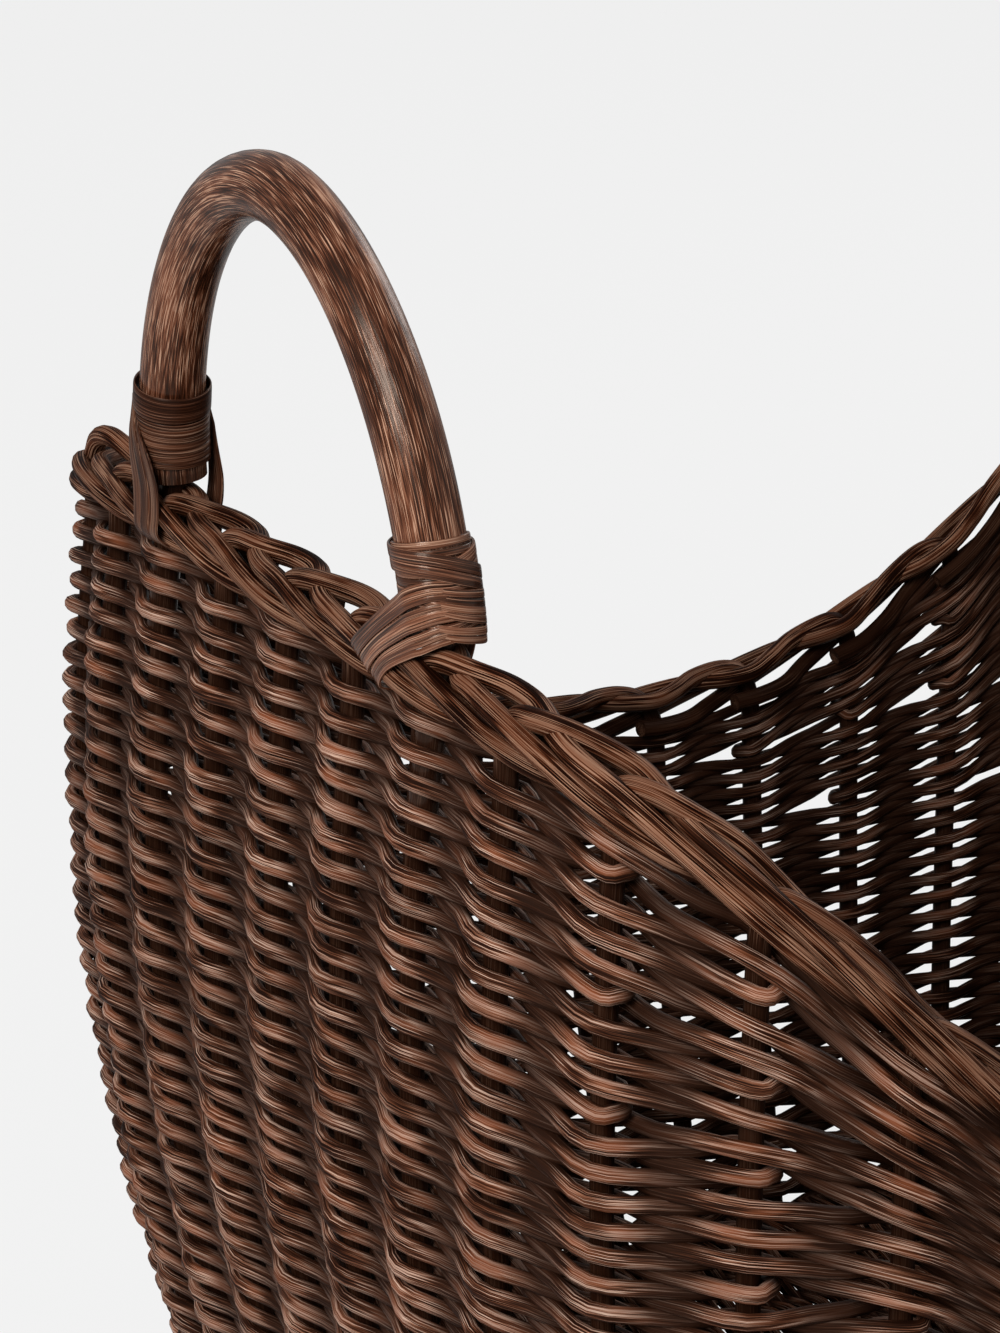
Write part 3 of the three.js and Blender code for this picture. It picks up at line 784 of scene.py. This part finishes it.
def handlePole():
    turn = np.linspace(0, np.pi, handle["steps"])
    across = handle["halfSpan"] * signedPower(np.cos(turn), handle["fullness"])
    up = handle["rise"] * np.sin(turn) ** handle["fullness"]
    down = np.linspace(handle["seatHeight"], 0, handle["footSteps"], endpoint=False)
    across = np.pad(across, handle["footSteps"], mode="edge")
    up = np.concatenate([down, up, down[::-1]])
    path = handleSpot(across, up)
    swell = handle["swell"] * np.sin(np.linspace(0, handle["swellWaves"], len(path)))
    radius = handle["radius"] * (1 + swell)
    strand = sweep(path, handleFacing, radius, radius, handle["sides"], handle["grainSeed"])
    # painted shade at the pole's foot, under the lashing and by the border
    shade = (up - handle["shadedBelow"]) / handle["shadeOver"] + 0.5
    shade = np.clip(shade, handle["shadeLeast"], 1)
    strand["open"] = np.concatenate([np.repeat(shade, handle["sides"]), shade[[0, -1]]])
    return strand


def handlePeg(side):
    seat = handleSpot(side * handle["halfSpan"], handle["seatHeight"])
    tipHeight = seat[2] - handle["pegDepth"]
    tip = np.array([wallAtLeg(tipHeight), seat[1], tipHeight])
    share = np.linspace(0, 1, handle["pegSteps"])[:, None]
    path = tip + (seat + (seat - tip) * handle["pegOverlap"] - tip) * share
    strand = sweep(path, lengthwise, handle["pegRadius"], handle["pegRadius"], handle["pegSides"],
                   handle["pegSeed"])
    # the pegs painted almost all in shade
    return dict(strand, open=strand["open"] * handle["pegShade"])


poleAndPegs = [handlePole(), handlePeg(1), handlePeg(-1)]
for end in endCentres:
    strands = [toEnd(strand, end) for strand in poleAndPegs]
    makePiece("handle_pole_" + end, strands, poleCane, ["handle_" + end])

# Lashings: cane peel wound round each leg, and straps that bind it to the border

peel = dict(
    thickness=0.0009, square=0.45, sides=12, stepsToTurn=40, lashed=0.011,
    startDegrees=200, turnGap=0.00004, lap=1.02, loose=0.0002, curveSteps=8, narrowFrom=0.5, ahead=0.001,
    plainWinding=dict(start=0.004, turns=7, width=0.00232, distance=0.011, thickness=0.0012),
    fanWinding=dict(start=0.0018, turns=10, width=0.0024, distance=0.01055, thickness=0.0009),
    # curves round a leg: degrees from facing inward, height above the rim, distance from its middle
    looseTurn=dict(strips=1, width=0.0086, spots=[
        (-62, 0.0261, 0.011), (0, 0.0265, 0.0113), (60, 0.0268, 0.0114), (119, 0.0269, 0.0112),
        (180, 0.0269, 0.0114), (240, 0.0269, 0.0114), (300, 0.0268, 0.0121), (345, 0.0267, 0.012)]),
    collar=dict(strips=2, width=0.0035, spots=[
        (300, 0.0262, 0.0108), (250, 0.0254, 0.0112), (209, 0.0243, 0.0114), (164, 0.0232, 0.0115),
        (119, 0.0213, 0.0117), (74, 0.018, 0.0119), (29, 0.0146, 0.012), (-20, 0.0115, 0.0117),
        (-60, 0.0095, 0.011)]),
    underCollar=dict(strips=2, width=0.0034, spots=[
        (-75, 0.0236, 0.011), (-30, 0.0226, 0.0113), (10, 0.0216, 0.0114), (50, 0.0202, 0.0112),
        (90, 0.0186, 0.0108)]),
    # pairs of strips that cross the leg alike at first, each pair with its own heights and end
    crossTurns=[-95, -50, -10, 29, 75],
    crossAway=[0.0108, 0.0115, 0.0119, 0.012, 0.0121],
    crossStrips=[
        ([0.008, 0.0082, 0.0085, 0.0094, 0.0117], [(105, 0.0134, 0.0119), (133, 0.015, 0.0107)]),
        ([0.0032, 0.0034, 0.0038, 0.0046, 0.0075], [(118, 0.0105, 0.0119), (150, 0.0126, 0.0107)]),
        ([-0.0018, -0.0015, -0.0011, -0.0004, 0.002], [(115, 0.0042, 0.0119), (146, 0.0058, 0.0107)]),
    ],
    crossPair=dict(strips=2, width=0.0025, endWidth=0.0017),
    # the fan's upper and lower edges: round the leg, then on the border's outer face as (along, height)
    fanOnLeg=[((50, 0.0165), (42, 0.0018), 0.0113), ((98, 0.0174), (90, 0.0012), 0.0114),
              ((130, 0.0181), (120, 0.0003), 0.012), ((163, 0.0166), (143, -0.0018), 0.0122),
              ((193, 0.0132), (163, -0.0037), 0.0121)],
    fanOnBorder=[((-0.0664, 0.3886), (-0.0785, 0.3775), -0.2706),
                 ((-0.0548, 0.379), (-0.0728, 0.3712), -0.27),
                 ((-0.052, 0.3756), (-0.0705, 0.3682), -0.2655)],
    fanFacing=[(-1, 0.1, 0), (-1, 0.1, -0.1), (-0.8, 0.1, -0.6)],
    fanHalfWidth=([0, 0.6, 0.75, 0.9, 1], [0.0009, 0.00098, 0.0009, 0.00108, 0.001]),
    fanSteps=7, fanBundles=3, fanInBundle=3, bundleGap=0.05, bundleLift=0.00025, stripLift=0.0001,
    # straps down a face of the border: both edges as (along, height)
    outerStrap=dict(strips=3, tuck=0.003, edges=[
        ((0.0876, 0.415), (0.0856, 0.415)), ((0.0888, 0.4047), (0.0822, 0.4047)),
        ((0.0905, 0.396), (0.0768, 0.396)), ((0.0902, 0.388), (0.073, 0.388)),
        ((0.0888, 0.381), (0.0708, 0.38)), ((0.0862, 0.3735), (0.0702, 0.3742)),
        ((0.0845, 0.369), (0.07, 0.37))]),
    innerStrap=dict(strips=2, tuck=0.002, edges=[
        ((0.085, 0.412), (0.08, 0.412)), ((0.0849, 0.404), (0.0796, 0.404)),
        ((0.0846, 0.396), (0.0782, 0.396)), ((0.0842, 0.387), (0.0752, 0.387)),
        ((0.0838, 0.379), (0.0736, 0.379)), ((0.0835, 0.372), (0.0732, 0.372))]),
    strapLap=1.06, strapStagger=0.0003, strapSteps=5, tuckSteps=7,
)

# how far peel lies out from the leg and from the wall's middle, by depth under or height over the rim
face = dict(
    lift=0.0008, liftFall=0.0016, liftFrom=0.016, liftOver=0.01,
    onBorder=0.0112, curlFrom=0.012, curlOver=0.012, curlIn=0.005, joinFrom=0.012, joinOver=0.022,
)


def legFrame(side, up):
    # middle of the leg and its directions: facing inward, and across
    power = 2 / handle["fullness"]

    def sideways(height):
        share = np.clip(height / handle["rise"], 0, 1)
        return handle["halfSpan"] * (1 - share ** power) ** (1 / power)

    centre = handleSpot(side * sideways(up), up)
    higher = up + peel["ahead"]
    along = unit(handleSpot(side * sideways(higher), higher) - centre)
    facing = np.broadcast_to(handleFacing, along.shape)
    return centre, facing, np.cross(facing, along)


def aroundLeg(side, degrees, up, distance):
    # points beside a leg with the way they face: nought degrees is inward
    centre, facing, across = legFrame(side, up)
    turn = np.radians(degrees)[:, None]
    outward = facing * np.cos(turn) + across * np.sin(turn)
    return centre + outward * distance[:, None], outward


def peelStrip(path, outward, halfWidth, thickness=peel["thickness"]):
    # flat strip whose thin way faces outward
    return sweep(path, outward, thickness / 2, halfWidth, peel["sides"], random.uniform(0, 1),
                 power=peel["square"])


def windings(side, look):
    # close turns, each rising by a strip's width
    turn = np.linspace(0, look["turns"], look["turns"] * peel["stepsToTurn"] + 1)
    up = look["start"] + look["width"] * (turn + 0.5)
    degrees = peel["startDegrees"] + 360 * turn
    path, outward = aroundLeg(side, degrees, up, np.full(len(turn), look["distance"]))
    return [peelStrip(path, outward, look["width"] / 2 - peel["turnGap"], look["thickness"])]


def roundLeg(side, look):
    # strips side by side along a curve round the leg, drawn together towards its end
    degrees, up, distance = smoothThrough(look["spots"], peel["curveSteps"]).T
    widths = [look["width"], look.get("endWidth", look["width"])]
    width = np.interp(np.linspace(0, 1, len(up)), [peel["narrowFrom"], 1], widths)
    made = []
    for strip in range(look["strips"]):
        shift = (strip - (look["strips"] - 1) / 2) * width
        lift = random.uniform(0, peel["loose"])
        path, outward = aroundLeg(side, degrees, up + shift, distance + lift)
        made.append(peelStrip(path, outward, width / 2 * peel["lap"]))
    return made


def faceOfBorder(facing, y, height):
    # beside the leg above, over the border's face, then curling in under it as a quarter circle
    fall = np.clip((height - legTop - face["liftFrom"]) / face["liftOver"], 0, 1)
    distance = peel["lashed"] + face["lift"] - face["liftFall"] * fall
    onLeg = legX - (height - legTop) * math.tan(handle["lean"]) + facing * distance
    low = np.clip((legTop - face["curlFrom"] - height) / face["curlOver"], 0, 1)
    wallX = planAt(np.pi - np.arctan2(y, wall["halfLength"]), np.minimum(height, legTop))[0]
    onBorder = wallX + facing * (face["onBorder"] * np.sqrt(1 - low ** 2) - face["curlIn"] * low ** 3)
    share = np.clip((height - legTop + face["joinFrom"]) / face["joinOver"], 0, 1)
    return onBorder * (1 - share) + onLeg * share


def strapStrips(side, facing, look):
    edges = smoothThrough(np.array(look["edges"]).reshape(-1, 4), peel["strapSteps"]).reshape(-1, 2, 2)
    made = []
    for strip in range(look["strips"]):
        middle = (strip + 0.5) / look["strips"]
        y, height = (edges[:, 0] * (1 - middle) + edges[:, 1] * middle).T
        x = faceOfBorder(facing, y, height) + facing * (peel["strapStagger"] * (strip % 2))
        tucked = np.clip(1 - np.arange(len(x))[::-1] / peel["tuckSteps"], 0, 1) ** 2
        x = x - facing * look["tuck"] * tucked
        path = np.stack([x, y * side, height], -1)
        half = np.linalg.norm(edges[:, 0] - edges[:, 1], axis=-1) / look["strips"] / 2 * peel["strapLap"]
        made.append(peelStrip(path, facing * lengthwise, half))
    return made


def fanStrip(share, lift):
    # one strip of the fan at a share of the way from its upper to its lower edge
    def blend(a, b):
        return [a[0] * (1 - share) + b[0] * share, a[1] * (1 - share) + b[1] * share]

    onLeg = np.array([(*blend(a, b), distance + lift) for a, b, distance in peel["fanOnLeg"]])
    points, outward = aroundLeg(-1, *onLeg.T)
    onBorder = np.array([(x - lift, *blend(a, b)) for a, b, x in peel["fanOnBorder"]])
    facing = unit(np.array(peel["fanFacing"]))
    spots = np.hstack([np.concatenate([points, onBorder]), np.concatenate([outward, facing])])
    curve = smoothThrough(spots, peel["fanSteps"])
    half = np.interp(np.linspace(0, 1, len(curve)), *peel["fanHalfWidth"])
    return peelStrip(curve[:, :3], unit(curve[:, 3:]), half)


plainLashing = windings(1, peel["plainWinding"]) + roundLeg(1, peel["looseTurn"])
fanLashing = windings(-1, peel["fanWinding"])
fanLashing += roundLeg(-1, peel["underCollar"]) + roundLeg(-1, peel["collar"])
for heights, end in peel["crossStrips"]:
    spots = [*zip(peel["crossTurns"], heights, peel["crossAway"]), *end]
    fanLashing += roundLeg(-1, dict(peel["crossPair"], spots=spots))
fan = []
for strip in range(peel["fanBundles"] * peel["fanInBundle"]):
    bundle, within = divmod(strip, peel["fanInBundle"])
    inBundle = peel["bundleGap"] + (within + 0.5) / peel["fanInBundle"] * (1 - 2 * peel["bundleGap"])
    lift = peel["bundleLift"] * (bundle % 2) + peel["stripLift"] * within
    fan.append(fanStrip((bundle + inBundle) / peel["fanBundles"], lift))
bindings = dict(
    lashing_plain=plainLashing,
    lashing_fan=fanLashing,
    outer_strap_plain=strapStrips(1, -1, peel["outerStrap"]),
    outer_strap_fan=fan,
    inner_strap_plain=strapStrips(1, 1, peel["innerStrap"]),
    inner_strap_fan=strapStrips(-1, 1, peel["innerStrap"]),
)
for end in endCentres:
    for name, strips in bindings.items():
        node = name.replace("_plain", f"_{end}_plain").replace("_fan", f"_{end}_fan")
        piece = name.replace("lashing", "peel_winding").replace("strap", "peel_strap") + "_" + end
        # the plain lashings take the darker copy, its darkness painted shade
        finish = dullShadedPeelCane if name.endswith("plain") else peelCane
        makePiece(piece, [toEnd(s, end) for s in strips], finish, [node])

# Camera at the photograph's viewing angle

camera = dict(place=(-0.7804, -1.0367, 0.7687), azimuth=-29.41, elevation=19.79, lens=113.43,
              sensor=36, shiftX=0.01116, shiftY=0.00109)


def pointFrom(thing, place, direction):
    thing.location = place
    thing.rotation_mode = "QUATERNION"
    thing.rotation_quaternion = direction.to_track_quat("-Z", "Y")


lens = bpy.data.cameras.new("camera")
lens.sensor_width = camera["sensor"]
lens.lens = camera["lens"]
lens.shift_x, lens.shift_y = camera["shiftX"], camera["shiftY"]
viewer = addThing("camera", lens)
a, e = math.radians(camera["azimuth"]), math.radians(camera["elevation"])
looking = Vector((-math.sin(a) * math.cos(e), math.cos(a) * math.cos(e), -math.sin(e)))
pointFrom(viewer, camera["place"], looking)
bpy.context.scene.camera = viewer

# Plain pale floor and plain soft light

studio = dict(
    pale=0.863, floorSize=9.0, worldStrength=0.42, floorBounce=0.5, floorDiffuse=0.06, floorGlow=0.83,
    aim=(0, 0, 0.2),
    lamps=dict(
        key=dict(place=(-1.66, -0.98, 1.45), size=1.0, power=49.0),
        fill=dict(place=(1.4, -1.8, 1.2), size=1.6, power=3.0),
        end=dict(place=(1.9, 0.8, 1.3), size=1.2, power=14.0),
    ),
)


def seenAs(tree, hidden, seen, output):
    # one shader for the light that bounces, another for what the camera sees
    path = tree.nodes.new("ShaderNodeLightPath")
    mix = put(tree, "ShaderNodeMixShader", {0: path.outputs["Is Camera Ray"], 1: hidden.outputs[0],
                                            2: seen.outputs[0]})
    tree.links.new(mix.outputs[0], tree.nodes.new(output).inputs["Surface"])


bpy.context.scene.view_settings.view_transform = "Standard"
world = bpy.data.worlds.new("studio")
bpy.context.scene.world = world
tree = emptyTree(world)
soft = put(tree, "ShaderNodeBackground", {"Color": (1, 1, 1, 1), "Strength": studio["worldStrength"]})
seen = put(tree, "ShaderNodeBackground", {"Color": (studio["pale"],) * 3 + (1,), "Strength": 1.0})
seenAs(tree, soft, seen, "ShaderNodeOutputWorld")

floorMesh = bpy.data.meshes.new("floor")
half = studio["floorSize"]
corners = [(-half, -half, 0), (half, -half, 0), (half, half, 0), (-half, half, 0)]
floorMesh.from_pydata(corners, [], [(0, 1, 2, 3)])
floor = addThing("floor", floorMesh)
floorPaint = bpy.data.materials.new("pale floor")
tree = emptyTree(floorPaint)
bounce = put(tree, "ShaderNodeBsdfDiffuse", {"Color": (studio["floorBounce"],) * 3 + (1,)})
shade = put(tree, "ShaderNodeBsdfDiffuse", {"Color": (studio["floorDiffuse"],) * 3 + (1,)})
glow = put(tree, "ShaderNodeEmission", {"Color": (1, 1, 1, 1), "Strength": studio["floorGlow"]})
both = put(tree, "ShaderNodeAddShader", {0: shade.outputs[0], 1: glow.outputs[0]})
seenAs(tree, bounce, both, "ShaderNodeOutputMaterial")
floorMesh.materials.append(floorPaint)

for name, look in studio["lamps"].items():
    data = bpy.data.lights.new(name + " lamp", "AREA")
    data.shape = "DISK"
    data.size, data.energy = look["size"], look["power"]
    towards = Vector(studio["aim"]) - Vector(look["place"])
    pointFrom(addThing(data.name, data), look["place"], towards)
print("floor and lamps set")
